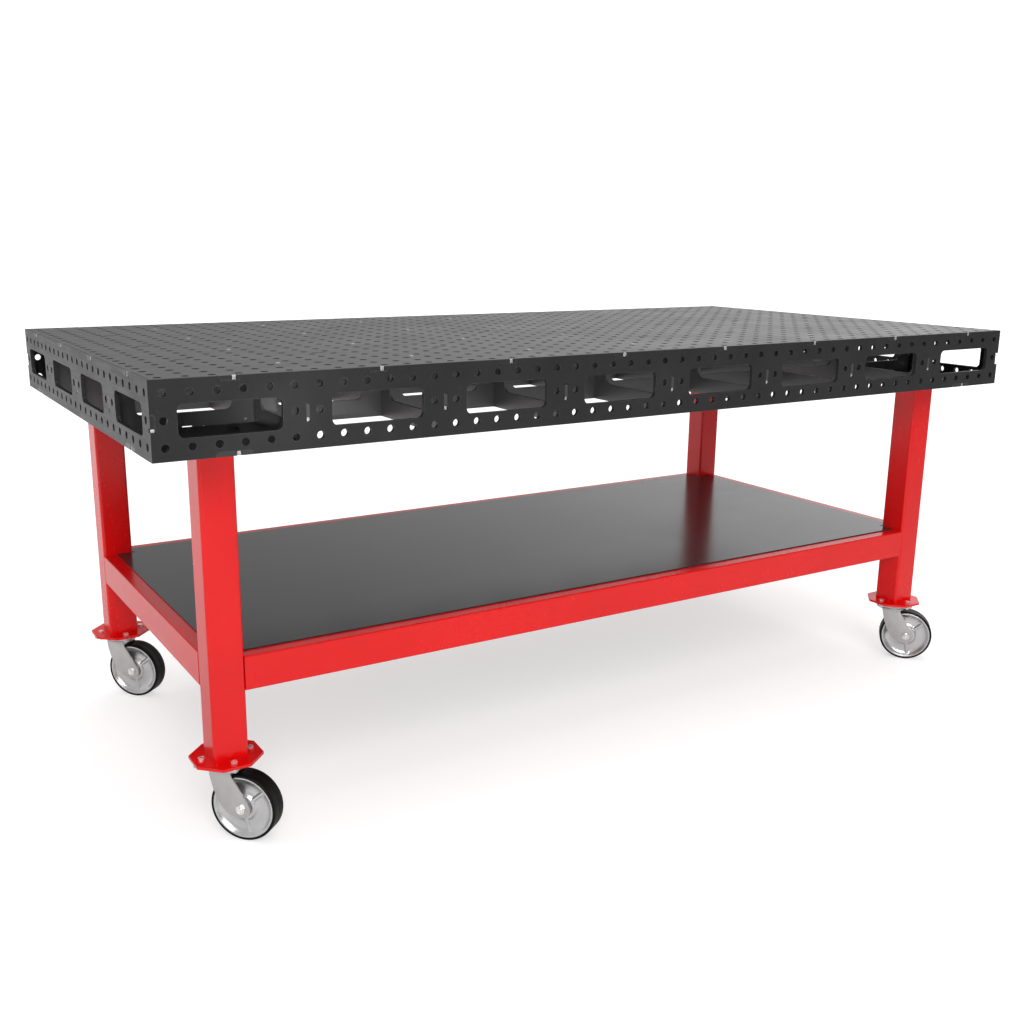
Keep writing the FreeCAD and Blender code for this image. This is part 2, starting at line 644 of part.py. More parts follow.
flanges = []
kings = []
for tag, (sx, sy) in CORNERS.items():
    cx, cy = sx * LX, sy * LY
    out("corner_plate_" + tag, corner_plate(sx, sy))
    out("leg_tube_" + tag, leg_tube(cx, cy))
    out("leg_foot_plate_" + tag, foot_plate(cx, cy))
    flanges.append(top_flange(cx, cy))
    kings.append(kingpin(cx, cy))
    out("caster_plate_" + tag, caster_plate(cx, cy))
    out("caster_fork_" + tag, fork(cx, cy))
    out("caster_axle_" + tag, axle(cx, cy))
    out("wheel_core_" + tag, wheel_core(cx, cy))
    out("wheel_tyre_" + tag, tyre(cx, cy))
out("leg_top_flanges", Part.Compound(flanges))
out("caster_kingpins", Part.Compound(kings))

for nm, s in rails().items():
    out(nm, s)
out("shelf_panel", shelf_panel())

bolts, nuts = foot_bolts()
out("foot_bolts", bolts)
out("foot_nuts", nuts)
out("flange_bolts", flange_bolts())
out("tack_welds", tack_welds())
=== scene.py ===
import math
import random

import bmesh
import bpy
from mathutils import Matrix, Vector


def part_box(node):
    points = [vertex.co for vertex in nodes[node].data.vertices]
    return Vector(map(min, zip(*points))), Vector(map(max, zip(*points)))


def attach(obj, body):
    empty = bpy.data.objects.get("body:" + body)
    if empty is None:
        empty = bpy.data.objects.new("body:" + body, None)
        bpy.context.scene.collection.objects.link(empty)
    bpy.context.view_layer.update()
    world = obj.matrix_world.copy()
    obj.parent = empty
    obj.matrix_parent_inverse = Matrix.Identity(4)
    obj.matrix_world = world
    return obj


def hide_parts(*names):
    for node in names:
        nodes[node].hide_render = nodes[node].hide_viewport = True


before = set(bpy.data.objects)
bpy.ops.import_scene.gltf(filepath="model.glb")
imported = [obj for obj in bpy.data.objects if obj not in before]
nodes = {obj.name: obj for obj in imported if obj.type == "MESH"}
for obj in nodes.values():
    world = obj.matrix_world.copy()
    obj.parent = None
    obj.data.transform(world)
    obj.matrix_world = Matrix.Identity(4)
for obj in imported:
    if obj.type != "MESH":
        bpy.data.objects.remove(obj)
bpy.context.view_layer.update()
TAGS = ("fl", "fr", "bl", "br")
SIDE = {"fl": (-1, -1), "fr": (1, -1), "bl": (-1, 1), "br": (1, 1)}
MM = 0.001


# ================================================================ materials
class Net:
    """A material's node tree with short helpers."""

    def __init__(self, name):
        self.m = bpy.data.materials.new(name)
        self.m.use_nodes = True
        self.t = self.m.node_tree
        self.t.nodes.clear()
        self.out = self.t.nodes.new("ShaderNodeOutputMaterial")
        self.b = self.t.nodes.new("ShaderNodeBsdfPrincipled")
        self.t.links.new(self.b.outputs[0], self.out.inputs["Surface"])
        self.tc = self.t.nodes.new("ShaderNodeTexCoord")
        self.obj = self.tc.outputs["Object"]

    def link(self, a, b):
        self.t.links.new(a, b)

    def mapping(self, scale, src=None, rot=(0, 0, 0)):
        n = self.t.nodes.new("ShaderNodeMapping")
        n.inputs["Scale"].default_value = scale
        n.inputs["Rotation"].default_value = rot
        self.link(src or self.obj, n.inputs["Vector"])
        return n.outputs[0]

    def noise(self, scale, detail=3.0, rough=0.5, vec=None, dist=0.0):
        n = self.t.nodes.new("ShaderNodeTexNoise")
        n.inputs["Scale"].default_value = scale
        n.inputs["Detail"].default_value = detail
        n.inputs["Roughness"].default_value = rough
        n.inputs["Distortion"].default_value = dist
        self.link(vec or self.obj, n.inputs["Vector"])
        return n.outputs["Fac"]

    def voronoi(self, scale, feature="F1", vec=None):
        n = self.t.nodes.new("ShaderNodeTexVoronoi")
        n.feature = feature
        n.inputs["Scale"].default_value = scale
        self.link(vec or self.obj, n.inputs["Vector"])
        return n.outputs["Distance"]

    def ramp(self, fac, stops):
        n = self.t.nodes.new("ShaderNodeValToRGB")
        cr = n.color_ramp
        while len(cr.elements) < len(stops):
            cr.elements.new(0.5)
        for e, (p, c) in zip(cr.elements, stops):
            e.position = p
            e.color = (c, c, c, 1) if isinstance(c, (int, float)) else (*c, 1)
        self.link(fac, n.inputs[0])
        return n.outputs[0]

    def rng(self, fac, a, b, lo=0.0, hi=1.0):
        n = self.t.nodes.new("ShaderNodeMapRange")
        n.inputs["From Min"].default_value = lo
        n.inputs["From Max"].default_value = hi
        n.inputs["To Min"].default_value = a
        n.inputs["To Max"].default_value = b
        self.link(fac, n.inputs["Value"])
        return n.outputs[0]

    def mix(self, fac, a, b, mode="MIX"):
        n = self.t.nodes.new("ShaderNodeMix")
        n.data_type = "RGBA"
        n.blend_type = mode
        if isinstance(fac, (int, float)):
            n.inputs[0].default_value = fac
        else:
            self.link(fac, n.inputs[0])
        for sock, v in ((n.inputs[6], a), (n.inputs[7], b)):
            if isinstance(v, tuple):
                sock.default_value = (*v, 1)
            else:
                self.link(v, sock)
        return n.outputs[2]

    def math(self, op, a, b=None, clamp=False):
        n = self.t.nodes.new("ShaderNodeMath")
        n.operation = op
        n.use_clamp = clamp
        for i, v in enumerate((a, b)):
            if v is None:
                continue
            if isinstance(v, (int, float)):
                n.inputs[i].default_value = v
            else:
                self.link(v, n.inputs[i])
        return n.outputs[0]

    def bump(self, height, strength, distance, normal=None):
        n = self.t.nodes.new("ShaderNodeBump")
        n.inputs["Strength"].default_value = strength
        n.inputs["Distance"].default_value = distance
        self.link(height, n.inputs["Height"])
        if normal is not None:
            self.link(normal, n.inputs["Normal"])
        return n.outputs[0]

    def round_edges(self, radius, samples=4):
        n = self.t.nodes.new("ShaderNodeBevel")
        n.samples = samples
        n.inputs["Radius"].default_value = radius
        return n.outputs[0]

    def axes(self):
        """Object position and true surface normal, split into x, y, z."""
        a = self.t.nodes.new("ShaderNodeSeparateXYZ")
        self.link(self.obj, a.inputs[0])
        g = self.t.nodes.new("ShaderNodeNewGeometry")
        b = self.t.nodes.new("ShaderNodeSeparateXYZ")
        self.link(g.outputs["True Normal"], b.inputs[0])
        return [a.outputs[i] for i in range(3)], [self.math("ABSOLUTE", b.outputs[i]) for i in range(3)]

    def cell(self, v, pitch, start):
        """Signed distance from the middle of the pitch cell that v is in, cells counted from start."""
        f = self.math("FRACT", self.math("DIVIDE", self.math("SUBTRACT", v, start), pitch))
        return self.math("MULTIPLY", self.math("SUBTRACT", f, 0.5), pitch)

    def edge_mask(self, radius, lo=0.02, hi=0.25, samples=4):
        """1 along edges within radius, 0 on flat faces: how far the rounded normal leans from the true one."""
        bv = self.round_edges(radius, samples)
        g = self.t.nodes.new("ShaderNodeNewGeometry")
        d = self.t.nodes.new("ShaderNodeVectorMath")
        d.operation = "DOT_PRODUCT"
        self.link(bv, d.inputs[0])
        self.link(g.outputs["Normal"], d.inputs[1])
        inv = self.math("SUBTRACT", 1.0, d.outputs["Value"])
        return self.rng(inv, 0.0, 1.0, lo, hi)

    def set(self, **kw):
        for k, v in kw.items():
            s = self.b.inputs[k.replace("_", " ")]
            if isinstance(v, (int, float)):
                s.default_value = v
            elif isinstance(v, tuple):
                s.default_value = (*v, 1) if len(v) == 3 else v
            else:
                self.link(v, s)
        return self


SIDE = (0.014, 0.014, 0.0145)      # painted shade: the skirts' darker colour, painted on vertical faces, the cut ends that stand flush in a skirt's face


def steel(name, dark, light, rough, spec, worn=(0.20, 0.20, 0.205), grain="x", edge=0.0014, kind=None):
    """Blackened plate: soft mottling, fine rolled grain, faint scuffs, brighter worn edges."""
    n = Net(name)
    mott = n.noise(5.0, 6, 0.6)
    fine = n.noise(90.0, 4, 0.65)
    v = {"x": (6, 420, 420), "y": (420, 6, 420)}[grain]
    brush = n.noise(1.0, 3, 0.6, n.mapping(v))
    scuff = n.noise(38.0, 8, 0.75, n.mapping((1.0, 2.6, 1.7), rot=(0.3, 0.2, 0.9)), 1.4)
    base = n.mix(n.rng(mott, 0, 1, 0.30, 0.70), dark, light)
    base = n.mix(n.rng(fine, 0.0, 0.30, 0.35, 0.75), base, light)
    base = n.mix(n.rng(scuff, 0.0, 0.22, 0.62, 0.80), base, worn)
    edge_wear_and_highlight = n.edge_mask(edge, 0.03, 0.30)
    edge_wear_and_highlight = n.math("MULTIPLY", edge_wear_and_highlight, n.rng(n.noise(60.0, 4, 0.6), 0.15, 0.75, 0.35, 0.65))
    base = n.mix(edge_wear_and_highlight, base, worn)
    r = n.math("ADD", n.rng(mott, -0.05, 0.05, 0.3, 0.7), n.rng(brush, rough - 0.05, rough + 0.07, 0.3, 0.7))
    r = n.math("ADD", r, n.rng(scuff, 0.0, 0.12, 0.60, 0.80))
    gloss = spec
    if kind:
        (px, py, pz), (nx, ny, nz) = n.axes()
        flat = n.math("GREATER_THAN", nz, 0.5)
        side = n.math("SUBTRACT", 1.0, flat)
        if kind == "deck":
            # painted shade: the drilled walls are painted dark, with a higher gloss; the tab ends match the skirts
            # they stand in, painted shade on their vertical faces
            u, w = n.cell(px, 0.0508, -1.2192), n.cell(py, 0.0508, -0.6096)
            rad = n.math("SQRT", n.math("ADD", n.math("MULTIPLY", u, u), n.math("MULTIPLY", w, w)))
            shaded_hole_wall = n.math("MULTIPLY", n.math("LESS_THAN", rad, 0.0083), side)
            rim = n.math("MAXIMUM", n.math("GREATER_THAN", n.math("ABSOLUTE", px), 1.2185),
                         n.math("GREATER_THAN", n.math("ABSOLUTE", py), 0.6089))
            base = n.mix(n.math("MULTIPLY", side, rim), base, SIDE)
            base = n.mix(shaded_hole_wall, base, (0.016, 0.016, 0.0165))
            gloss = n.rng(shaded_hole_wall, spec, 1.0)
            r = n.math("SUBTRACT", r, n.math("MULTIPLY", shaded_hole_wall, 0.06))
        elif kind == "corner":
            # painted shade: every vertical face of the corner plates takes the skirts' darker colour
            base = n.mix(side, base, SIDE)
        elif kind in ("skirt_x", "skirt_y"):
            # scale-dark cut walls of the holes, windows and relief cuts; the outer edges keep the face's finish
            cut = n.math("LESS_THAN", ny if kind == "skirt_x" else nx, 0.5)
            for v, lim in ((pz, 1.0150), (n.math("ABSOLUTE", px), 1.2185), (n.math("ABSOLUTE", py), 0.6090)):
                if kind == "skirt_y" and lim == 1.2185 or kind == "skirt_x" and lim == 0.6090:
                    continue
                cut = n.math("MULTIPLY", cut, n.math("LESS_THAN", v, lim))
            cut = n.math("MULTIPLY", cut, n.math("GREATER_THAN", pz, 0.8642))
            base = n.mix(cut, base, (0.020, 0.020, 0.020))
        else:
            top = n.math("MULTIPLY", n.math("GREATER_THAN", pz, 1.0157), flat)
            if kind == "cross":
                # a short weld run in the middle of each tongue
                v = n.math("ABSOLUTE", n.cell(py, 0.3048, 0.0))
                base = n.mix(top, base, (0.020, 0.020, 0.021))
                base = n.mix(n.math("MULTIPLY", top, n.math("LESS_THAN", v, 0.0075)), base, (0.42, 0.42, 0.41))
                base = n.mix(n.math("GREATER_THAN", n.math("ABSOLUTE", py), 0.6093), base, (0.034, 0.034, 0.034))
            else:
                base = n.mix(n.math("GREATER_THAN", n.math("ABSOLUTE", px), 1.2189), base, (0.034, 0.034, 0.034))
                # painted shade: the tongue tops of the long ribs are painted near black, partly the rib steel's
                # darker tone and partly the shade of the gaps around them
                base = n.mix(top, base, (0.004, 0.004, 0.004))
                gloss = n.rng(top, spec, 0.02)
                r = n.math("ADD", r, n.math("MULTIPLY", top, 0.4))
    nb = n.bump(brush, 0.10, 0.0002)
    nb = n.bump(fine, 0.10, 0.0004, nb)
    n.set(Base_Color=base, Roughness=r, Normal=nb, Metallic=0.0)
    n.b.inputs["IOR"].default_value = 1.5
    n.set(Specular_IOR_Level=gloss)
    return n.m


def red_coat(name):
    """Gloss powder coat: orange peel, faint drift of colour, and a painted highlight of lighter red along sharp
    edges.
    """
    n = Net(name)
    drift = n.noise(3.0, 3, 0.5)
    peel2 = n.noise(90.0, 2, 0.5)
    base = n.mix(n.rng(drift, 0, 1, 0.3, 0.7), (0.65, 0.0010, 0.0014), (0.75, 0.0018, 0.0022))
    # painted highlight: sharp edges are painted a lighter red
    edge_wear_and_highlight = n.edge_mask(0.0022, 0.04, 0.35)
    base = n.mix(n.math("MULTIPLY", edge_wear_and_highlight, 0.25), base, (0.85, 0.03, 0.03))
    r = n.math("ADD", n.rng(drift, 0.20, 0.27, 0.3, 0.7), n.rng(peel2, -0.03, 0.03, 0.3, 0.7))
    nb = n.bump(peel2, 0.022, 0.0008)
    n.set(Base_Color=base, Roughness=r, Normal=nb, Metallic=0.0)
    n.b.inputs["IOR"].default_value = 1.5
    n.b.inputs["Specular IOR Level"].default_value = 0.42
    return n.m


def shelf_sheet(name):
    """Smooth dark sheet with a satin gloss, fine cross-brushing, dust and light handling marks."""
    n = Net(name)
    cloud = n.noise(2.2, 5, 0.6)
    grain = n.noise(1.0, 3, 0.6, n.mapping((4, 700, 700)))
    dust = n.noise(260.0, 3, 0.7)
    marks = n.noise(14.0, 9, 0.8, n.mapping((1.0, 3.5, 1.0), rot=(0, 0, 0.7)), 2.2)
    base = n.mix(n.rng(cloud, 0, 1, 0.3, 0.7), (0.018, 0.018, 0.019), (0.027, 0.027, 0.028))
    base = n.mix(n.rng(dust, 0.0, 0.10, 0.62, 0.80), base, (0.16, 0.16, 0.155))
    base = n.mix(n.rng(marks, 0.0, 0.06, 0.66, 0.80), base, (0.12, 0.12, 0.12))
    r = n.math("ADD", n.rng(cloud, 0.17, 0.23, 0.3, 0.7), n.rng(grain, -0.03, 0.03, 0.3, 0.7))
    r = n.math("ADD", r, n.rng(marks, 0.0, 0.10, 0.62, 0.80))
    nb = n.bump(grain, 0.06, 0.0001)
    n.set(Base_Color=base, Roughness=r, Normal=nb, Metallic=0.0)
    n.b.inputs["IOR"].default_value = 1.5
    n.b.inputs["Specular IOR Level"].default_value = 0.42
    return n.m


def zinc(name, tone, rough, warm=0.0, metal=0.92):
    """Bright zinc plate: spangle-free, faint clouding, fine scratches."""
    n = Net(name)
    cloud = n.noise(26.0, 5, 0.6)
    fine = n.noise(300.0, 3, 0.6)
    scr = n.noise(1.0, 4, 0.7, n.mapping((60, 900, 240), rot=(0.5, 0.9, 0.3)))
    a = (tone * 0.86, tone * (0.85 - warm), tone * (0.86 - warm))
    b = (tone, tone * (0.985 - warm), tone * (0.98 - warm))
    base = n.mix(n.rng(cloud, 0, 1, 0.3, 0.7), a, b)
    base = n.mix(n.rng(fine, 0.0, 0.18, 0.45, 0.8), base, (0.6 * tone, 0.59 * tone, 0.57 * tone))
    r = n.math("ADD", n.rng(cloud, rough - 0.05, rough + 0.06, 0.3, 0.7), n.rng(scr, -0.04, 0.05, 0.3, 0.7))
    nb = n.bump(scr, 0.08, 0.0001)
    nb = n.bump(fine, 0.06, 0.0002, nb)
    n.set(Base_Color=base, Roughness=r, Normal=nb, Metallic=metal)
    return n.m


def cast_core(name):
    """Silver cast wheel centre: fine sand-cast grain under a bright finish, with darker grain flecks."""
    n = Net(name)
    grain = n.noise(520.0, 4, 0.6)
    cloud = n.noise(34.0, 4, 0.55)
    base = n.mix(n.rng(cloud, 0, 1, 0.3, 0.7), (0.60, 0.60, 0.605), (0.66, 0.66, 0.665))
    base = n.mix(n.rng(grain, 0.0, 0.10, 0.55, 0.85), base, (0.44, 0.44, 0.44))
    r = n.math("ADD", n.rng(cloud, 0.27, 0.31, 0.3, 0.7), n.rng(grain, -0.01, 0.03, 0.3, 0.7))
    nb = n.bump(grain, 0.035, 0.00012)
    n.set(Base_Color=base, Roughness=r, Normal=nb, Metallic=0.95)
    return n.m


def tyre_mat(name):
    """Black tread: satin moulded skin with fine dust and scuffing."""
    n = Net(name)
    g = n.noise(700.0, 4, 0.6)
    d = n.noise(60.0, 6, 0.7)
    base = n.mix(n.rng(d, 0, 1, 0.35, 0.75), (0.0020, 0.0020, 0.0021), (0.0042, 0.0042, 0.0041))
    base = n.mix(n.rng(g, 0.0, 0.08, 0.60, 0.85), base, (0.020, 0.020, 0.019))
    r = n.math("ADD", n.rng(d, 0.40, 0.50, 0.3, 0.7), n.rng(g, -0.02, 0.04, 0.3, 0.7))
    nb = n.bump(g, 0.08, 0.0002)
    n.b.inputs["Specular IOR Level"].default_value = 0.16
    n.set(Base_Color=base, Roughness=r, Normal=nb, Metallic=0.0)
    n.b.inputs["IOR"].default_value = 1.5
    return n.m


def weld_mat(name):
    """Bright bead with fine ripples and faint straw and blue heat tint."""
    n = Net(name)
    rip = n.noise(600.0, 3, 0.6)
    tint = n.noise(90.0, 3, 0.5)
    base = n.mix(n.rng(tint, 0, 1, 0.35, 0.65), (0.42, 0.42, 0.425), (0.62, 0.615, 0.60))
    base = n.mix(n.rng(tint, 0.0, 0.25, 0.60, 0.75), base, (0.34, 0.36, 0.42))
    r = n.rng(rip, 0.30, 0.48, 0.3, 0.7)
    n.set(Base_Color=base, Roughness=r, Normal=n.bump(rip, 0.25, 0.0003), Metallic=0.75)
    return n.m


M = {
    "deck": steel("blackened_deck", (0.018, 0.018, 0.019), (0.032, 0.032, 0.033), 0.36, 0.50, kind="deck"),
    "skirt_x": steel("blackened_skirt_long", (0.010, 0.010, 0.0105), (0.018, 0.018, 0.0185), 0.42, 0.38, kind="skirt_x"),
    "skirt_y": steel("blackened_skirt_end", (0.010, 0.010, 0.0105), (0.018, 0.018, 0.0185), 0.42, 0.38, grain="y", kind="skirt_y"),
    "rib_x": steel("blackened_rib_long", (0.060, 0.060, 0.061), (0.090, 0.090, 0.091), 0.38, 0.80, kind="long"),
    "rib_y": steel("blackened_rib_cross", (0.060, 0.060, 0.061), (0.090, 0.090, 0.091), 0.38, 0.80, grain="y", kind="cross"),
    "corner": steel("blackened_corner", (0.014, 0.014, 0.0145), (0.024, 0.024, 0.0245), 0.36, 0.80, kind="corner"),
    "red": red_coat("red_powder_coat"),
    "panel": shelf_sheet("satin_sheet"),
    "zinc": zinc("zinc_plate", 0.58, 0.32, 0.014),
    "bolt": zinc("zinc_fastener", 0.95, 0.22, metal=0.78),
    "black": zinc("black_oxide", 0.045, 0.34, metal=0.5),
    "core": cast_core("cast_core"),
    "tyre": tyre_mat("black_tread"),
    "weld": weld_mat("weld_bead"),
}


def dress(node, key):
    o = nodes[node]
    if not o.material_slots:
        o.data.materials.append(M[key])
    for s in o.material_slots:
        s.material = M[key]


for nm in nodes:
    if nm == "top_plate":
        dress(nm, "deck")
    elif nm in ("skirt_front", "skirt_back"):
        dress(nm, "skirt_x")
    elif nm.startswith("skirt"):
        dress(nm, "skirt_y")
    elif nm.startswith("rib_long"):
        dress(nm, "rib_x")
    elif nm.startswith("rib_cross"):
        dress(nm, "rib_y")
    elif nm.startswith("corner_plate"):
        dress(nm, "corner")
    elif nm.startswith("leg") or nm.startswith("rail"):
        dress(nm, "red")
    elif nm == "shelf_panel":
        dress(nm, "panel")
    elif nm.startswith("caster_plate") or nm.startswith("caster_fork"):
        dress(nm, "zinc")
    elif nm.startswith("wheel_core"):
        dress(nm, "core")
    elif nm.startswith("wheel_tyre"):
        dress(nm, "tyre")
    elif nm == "tack_welds":
        dress(nm, "weld")
    elif nm == "flange_bolts":
        dress(nm, "black")
    else:
        dress(nm, "bolt")


# ================================================================ mesh helpers
def build(name, verts, faces, key, body, stand_for=(), sharp=32, mats=None, face_mats=None):
    """A mesh piece in the row frame, in metres, smooth except at edges sharper than the angle given."""
    me = bpy.data.meshes.new(name)
    me.from_pydata([tuple(v) for v in verts], [], faces)
    for k in (mats or [key]):
        me.materials.append(M[k])
    if face_mats:
        me.polygons.foreach_set("material_index", face_mats)
    bm = bmesh.new()
    bm.from_mesh(me)
    bmesh.ops.remove_doubles(bm, verts=bm.verts, dist=1e-6)
    bmesh.ops.recalc_face_normals(bm, faces=bm.faces)
    bm.to_mesh(me)
    bm.free()
    for p in me.polygons:
        p.use_smooth = True
    me.set_sharp_from_angle(angle=math.radians(sharp))
    me.update()
    o = bpy.data.objects.new(name, me)
    bpy.context.scene.collection.objects.link(o)
    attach(o, body)
    if stand_for:
        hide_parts(*stand_for)
    return o


class Geo:
    """Collects vertices and faces of several closed forms, in millimetres."""

    def __init__(self):
        self.v, self.f = [], []

    def add(self, verts, faces, tf=None):
        k = len(self.v)
        self.v += [tf @ Vector(p) if tf else Vector(p) for p in verts]
        self.f += [tuple(i + k for i in q) for q in faces]
        return self

    def metres(self, tf=None):
        return [(tf @ p if tf else p) * MM for p in self.v], self.f


def arc_round(pts, radii, n=5):
    """Rounds the corners of a closed 2-D outline, each by its own radius."""
    out = []
    k = len(pts)
    for i in range(k):
        p0, p1, p2 = Vector(pts[i - 1]), Vector(pts[i]), Vector(pts[(i + 1) % k])
        r = radii[i] if isinstance(radii, (list, tuple)) else radii
        a, b = (p0 - p1), (p2 - p1)
        la, lb = a.length, b.length
        if r <= 0 or la < 1e-9 or lb < 1e-9:
            out.append(tuple(p1))
            continue
        a.normalize()
        b.normalize()
        ang = math.acos(max(-1, min(1, a.dot(b))))
        if ang > math.pi - 0.02:
            out.append(tuple(p1))
            continue
        t = min(r / math.tan(ang / 2), 0.49 * la, 0.49 * lb)
        rr = t * math.tan(ang / 2)
        c = p1 + (a + b).normalized() * (rr / math.sin(ang / 2))
        s, e = p1 + a * t - c, p1 + b * t - c
        a0, a1 = math.atan2(s.y, s.x), math.atan2(e.y, e.x)
        da = (a1 - a0 + math.pi) % (2 * math.pi) - math.pi
        for j in range(n + 1):
            q = a0 + da * j / n
            out.append((c.x + rr * math.cos(q), c.y + rr * math.sin(q)))
    return out


def lathe(profile, seg=96):
    """Closed (radius, y) outline turned about the y axis."""
    v, f = [], []
    n = len(profile)
    for i in range(seg):
        a = 2 * math.pi * i / seg
        c, s = math.cos(a), math.sin(a)
        v += [(r * c, y, r * s) for r, y in profile]
    for i in range(seg):
        for j in range(n):
            a, b = i * n, ((i + 1) % seg) * n
            k = (j + 1) % n
            f.append((a + j, a + k, b + k, b + j))
    return v, f


def prism(outline, z0, z1, bev=0.8, steps=2):
    """Closed 2-D outline, anticlockwise, raised from z0 to z1 with rounded rims."""
    def inset(pts, d):
        res = []
        k = len(pts)
        for i in range(k):
            p0, p1, p2 = Vector(pts[i - 1]), Vector(pts[i]), Vector(pts[(i + 1) % k])
            e0, e1 = (p1 - p0), (p2 - p1)
            if e0.length < 1e-9 or e1.length < 1e-9:
                res.append(tuple(p1))
                continue
            n0, n1 = Vector((-e0.y, e0.x)).normalized(), Vector((-e1.y, e1.x)).normalized()
            m = n0 + n1
            if m.length < 1e-6:
                res.append(tuple(p1 + n0 * d))
                continue
            m.normalize()
            res.append(tuple(p1 + m * (d / max(0.35, m.dot(n0)))))
        return res

    area2 = sum(outline[i - 1][0] * outline[i][1] - outline[i][0] * outline[i - 1][1] for i in range(len(outline)))
    pts = outline if area2 > 0 else outline[::-1]
    rings = []
    for j in range(steps + 1):
        q = math.pi / 2 * j / steps
        rings.append((bev * (1 - math.sin(q)), z0 + bev * (1 - math.cos(q))))
    for j in range(steps + 1):
        q = math.pi / 2 * j / steps
        rings.append((bev * (1 - math.cos(q)), z1 - bev * (1 - math.sin(q))))
    v, f = [], []
    n = len(pts)
    for d, z in rings:
        v += [(x, y, z) for x, y in (inset(pts, d) if d > 1e-9 else pts)]
    for k in range(len(rings) - 1):
        for j in range(n):
            a, b = k * n, (k + 1) * n
            m = (j + 1) % n
            f.append((a + j, a + m, b + m, b + j))
    f.append(tuple(reversed(range(n))))
    f.append(tuple(range((len(rings) - 1) * n, len(rings) * n)))
    return v, f


def hex_form(af, z0, z1, bore=0.0, top=True, bottom=False, seg=72, dish=0.0, turn=0.0):
    """Hexagon about z with the curved 30 degree chamfers of a real head or nut."""
    rc = af / 2 * 0.955
    v, f = [], []

    def hexr(a):
        return af / 2 / math.cos((a % (math.pi / 3)) - math.pi / 6)

    def rim(z, sign, a):
        return z - sign * max(0.0, hexr(a) - rc) * math.tan(math.radians(30))

    rings = []
    ang = [2 * math.pi * i / seg for i in range(seg)]
    inner = bore if bore > 0 else 0.0
    if bottom:
        rings.append([(rc, z0)] * seg)
        rings.append([(hexr(a), rim(z0, -1, a)) for a in ang])
    else:
        rings.append([(hexr(a), z0) for a in ang])
    if top:
        rings.append([(hexr(a), rim(z1, 1, a)) for a in ang])
        rings.append([(rc, z1)] * seg)
        if dish > 0:
            rings.append([(rc * 0.90, z1)] * seg)
            rings.append([(rc * 0.84, z1 - dish)] * seg)
    else:
        rings.append([(hexr(a), z1) for a in ang])
    for ring in rings:
        v += [(r * math.cos(a + turn), r * math.sin(a + turn), z) for (r, z), a in zip(ring, ang)]
    k = len(rings)
    for i in range(k - 1):
        for j in range(seg):
            m = (j + 1) % seg
            f.append((i * seg + j, i * seg + m, (i + 1) * seg + m, (i + 1) * seg + j))
    if inner > 0:
        b0 = len(v)
        zt = rings[-1][0][1]
        c = 0.7
        for r, z in ((inner + c, zt), (inner, zt - c), (inner, z0 + c), (inner + c, z0)):
            v += [(r * math.cos(a + turn), r * math.sin(a + turn), z) for a in ang]
        last = (k - 1) * seg
        for j in range(seg):
            m = (j + 1) % seg
            f.append((last + j, last + m, b0 + m, b0 + j))
            for q in range(3):
                f.append((b0 + q * seg + j, b0 + q * seg + m, b0 + (q + 1) * seg + m, b0 + (q + 1) * seg + j))
            f.append((b0 + 3 * seg + j, b0 + 3 * seg + m, m, j))
    else:
        f.append(tuple(range((k - 1) * seg, k * seg)))
        f.append(tuple(reversed(range(seg))))
    return v, f


def thread(r, z0, z1, pitch=1.6, seg=32, per=6, tip=1.0, flip=False):
    """Threaded rod about z, a true helix, with a chamfered end at z1 (or at z0 when flipped)."""
    depth = pitch * 0.42
    n = max(4, int((z1 - z0) / pitch * per))
    v, f = [], []
    for i in range(n + 1):
        z = z0 + (z1 - z0) * i / n
        zz = z1 - (z - z0) if flip else z
        fall = max(0.0, 1 - (z1 - z) / tip) * depth * 1.2
        for j in range(seg):
            a = 2 * math.pi * j / seg
            ph = (zz / pitch - j / seg) % 1.0
            tri = abs(ph * 2 - 1)
            rr = r - depth * min(1.0, max(0.0, (tri - 0.12) / 0.76)) - fall
            v.append((rr * math.cos(a), rr * math.sin(a), zz))
    for i in range(n):
        for j in range(seg):
            m = (j + 1) % seg
            f.append((i * seg + j, i * seg + m, (i + 1) * seg + m, (i + 1) * seg + j))
    f.append(tuple(range(n * seg, (n + 1) * seg)))
    f.append(tuple(reversed(range(seg))))
    return v, f


def washer(r0, r1, z0, z1, seg=48):
    prof = arc_round([(r0, z0), (r1, z0), (r1, z1), (r0, z1)], 0.35, 2)
    v, f = [], []
    n = len(prof)
    for i in range(seg):
        a = 2 * math.pi * i / seg
        v += [(r * math.cos(a), r * math.sin(a), z) for r, z in prof]
    for i in range(seg):
        for j in range(n):
            a, b = i * n, ((i + 1) % seg) * n
            k = (j + 1) % n
            f.append((a + j, a + k, b + k, b + j))
    return v, f


# ================================================================ casters
LXY = {}
for t in TAGS:
    lo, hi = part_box("leg_tube_" + t)
    LXY[t] = ((lo.x + hi.x) / 2 * 1000, (lo.y + hi.y) / 2 * 1000)
YAWR = math.radians(42.4)
AXD = Vector((math.cos(YAWR), math.sin(YAWR), 0))
TRD = Vector((math.sin(YAWR), -math.cos(YAWR), 0))
Z_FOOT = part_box("leg_foot_plate_fl")[1].z * 1000
Z_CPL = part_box("leg_foot_plate_fl")[0].z * 1000
Z_CPB = Z_CPL - 6.35
WR, TRAIL, COREH = 76.2, 45.0, 21.5
FIN, TCH = 23.0, 4.5


def caster_frame(t):
    x, y = LXY[t]
    m = Matrix.Identity(4)
    for i in range(3):
        m[i][0], m[i][1], m[i][2] = TRD[i], AXD[i], (0, 0, 1)[i]
    m[0][3], m[1][3] = x, y
    return m


AT_WHEEL = Matrix.Translation((TRAIL, 0, WR))
ALONG_Y = Matrix.Rotation(math.radians(-90), 4, "X")       # z of a form to +y


